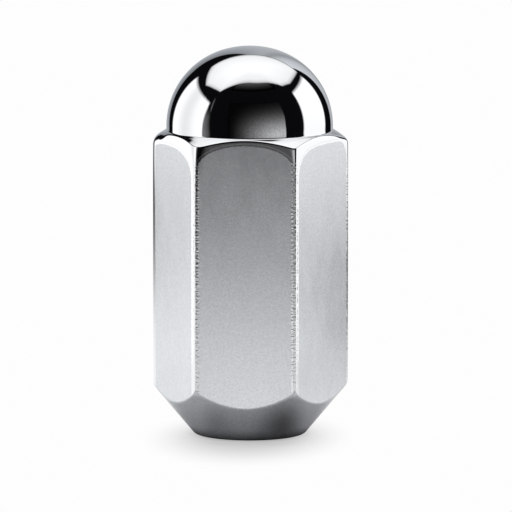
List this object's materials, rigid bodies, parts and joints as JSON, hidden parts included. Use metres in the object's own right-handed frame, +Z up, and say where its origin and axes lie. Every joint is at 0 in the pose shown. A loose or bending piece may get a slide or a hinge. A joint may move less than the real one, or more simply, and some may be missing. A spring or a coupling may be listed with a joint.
{
  "type": "acorn lug nut",
  "caption": "Closed-end hexagonal wheel nut with a round polished dome, satin flats, a conical seat and a blind threaded hole.",
  "frame": {"origin": "middle of the flat ring at the seat's small end, which the nut stands on", "axes": "+Z up the thread's axis towards the dome; the hexagon's corners lie on +X and -X, and two of its flats face +Y and -Y"},
  "size_m": [0.024, 0.021, 0.0476],
  "materials": {
    "chrome": "mirror-polished dome, ledge and edges, fine satin on the flats and the seat"
  },
  "bodies": {
    "root": {"lug_nut": "chrome"}
  },
  "joints": []
}
